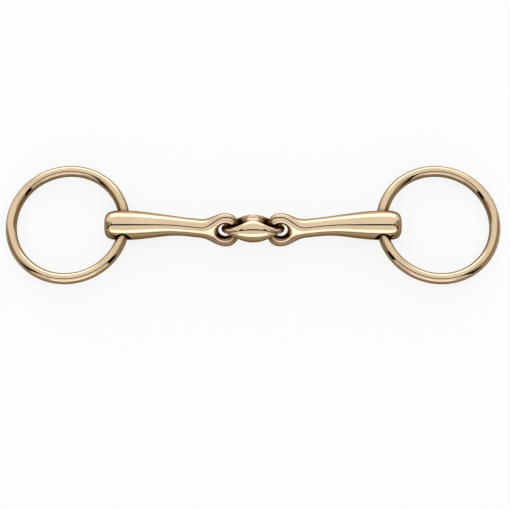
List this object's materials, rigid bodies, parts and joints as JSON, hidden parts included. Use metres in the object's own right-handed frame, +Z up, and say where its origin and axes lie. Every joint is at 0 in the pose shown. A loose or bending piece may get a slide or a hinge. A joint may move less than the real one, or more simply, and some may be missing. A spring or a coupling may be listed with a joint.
{
  "type": "snaffle bit",
  "caption": "Loose-ring snaffle bit with a double-jointed mouthpiece and a lozenge link, in polished pale gold alloy",
  "frame": {"origin": "middle of the bounding box, at its foot, on the table that the bit lies on", "axes": "+X along the mouthpiece to the right ring, +Y to the back, +Z up from the table"},
  "size_m": [0.2764, 0.07, 0.017],
  "materials": {
    "gold_alloy": "polished"
  },
  "bodies": {
    "centre_link": {"centre_link": "gold_alloy"},
    "left_arm": {"left_arm": "gold_alloy"},
    "right_arm": {"right_arm": "gold_alloy"},
    "left_ring": {"left_ring": "gold_alloy"},
    "right_ring": {"right_ring": "gold_alloy"}
  },
  "joints": [
    {"name": "left_arm_fold", "type": "hinge", "parent": "centre_link", "child": "left_arm", "pos_m": [-0.0095, -0.00343, 0.00852], "axis": [0, 0.7071, 0.7071], "range_deg": [-40, 40]},
    {"name": "right_arm_fold", "type": "hinge", "parent": "centre_link", "child": "right_arm", "pos_m": [0.0095, -0.00343, 0.00852], "axis": [0, -0.7071, -0.7071], "range_deg": [-40, 40]},
    {"name": "left_ring_swing", "type": "hinge", "parent": "left_arm", "child": "left_ring", "pos_m": [-0.0723, -0.0014, 0.00825], "axis": [0, 1, 0], "range_deg": [-100, 100]},
    {"name": "right_ring_swing", "type": "hinge", "parent": "right_arm", "child": "right_ring", "pos_m": [0.0723, -0.0014, 0.00825], "axis": [0, -1, 0], "range_deg": [-100, 100]}
  ]
}
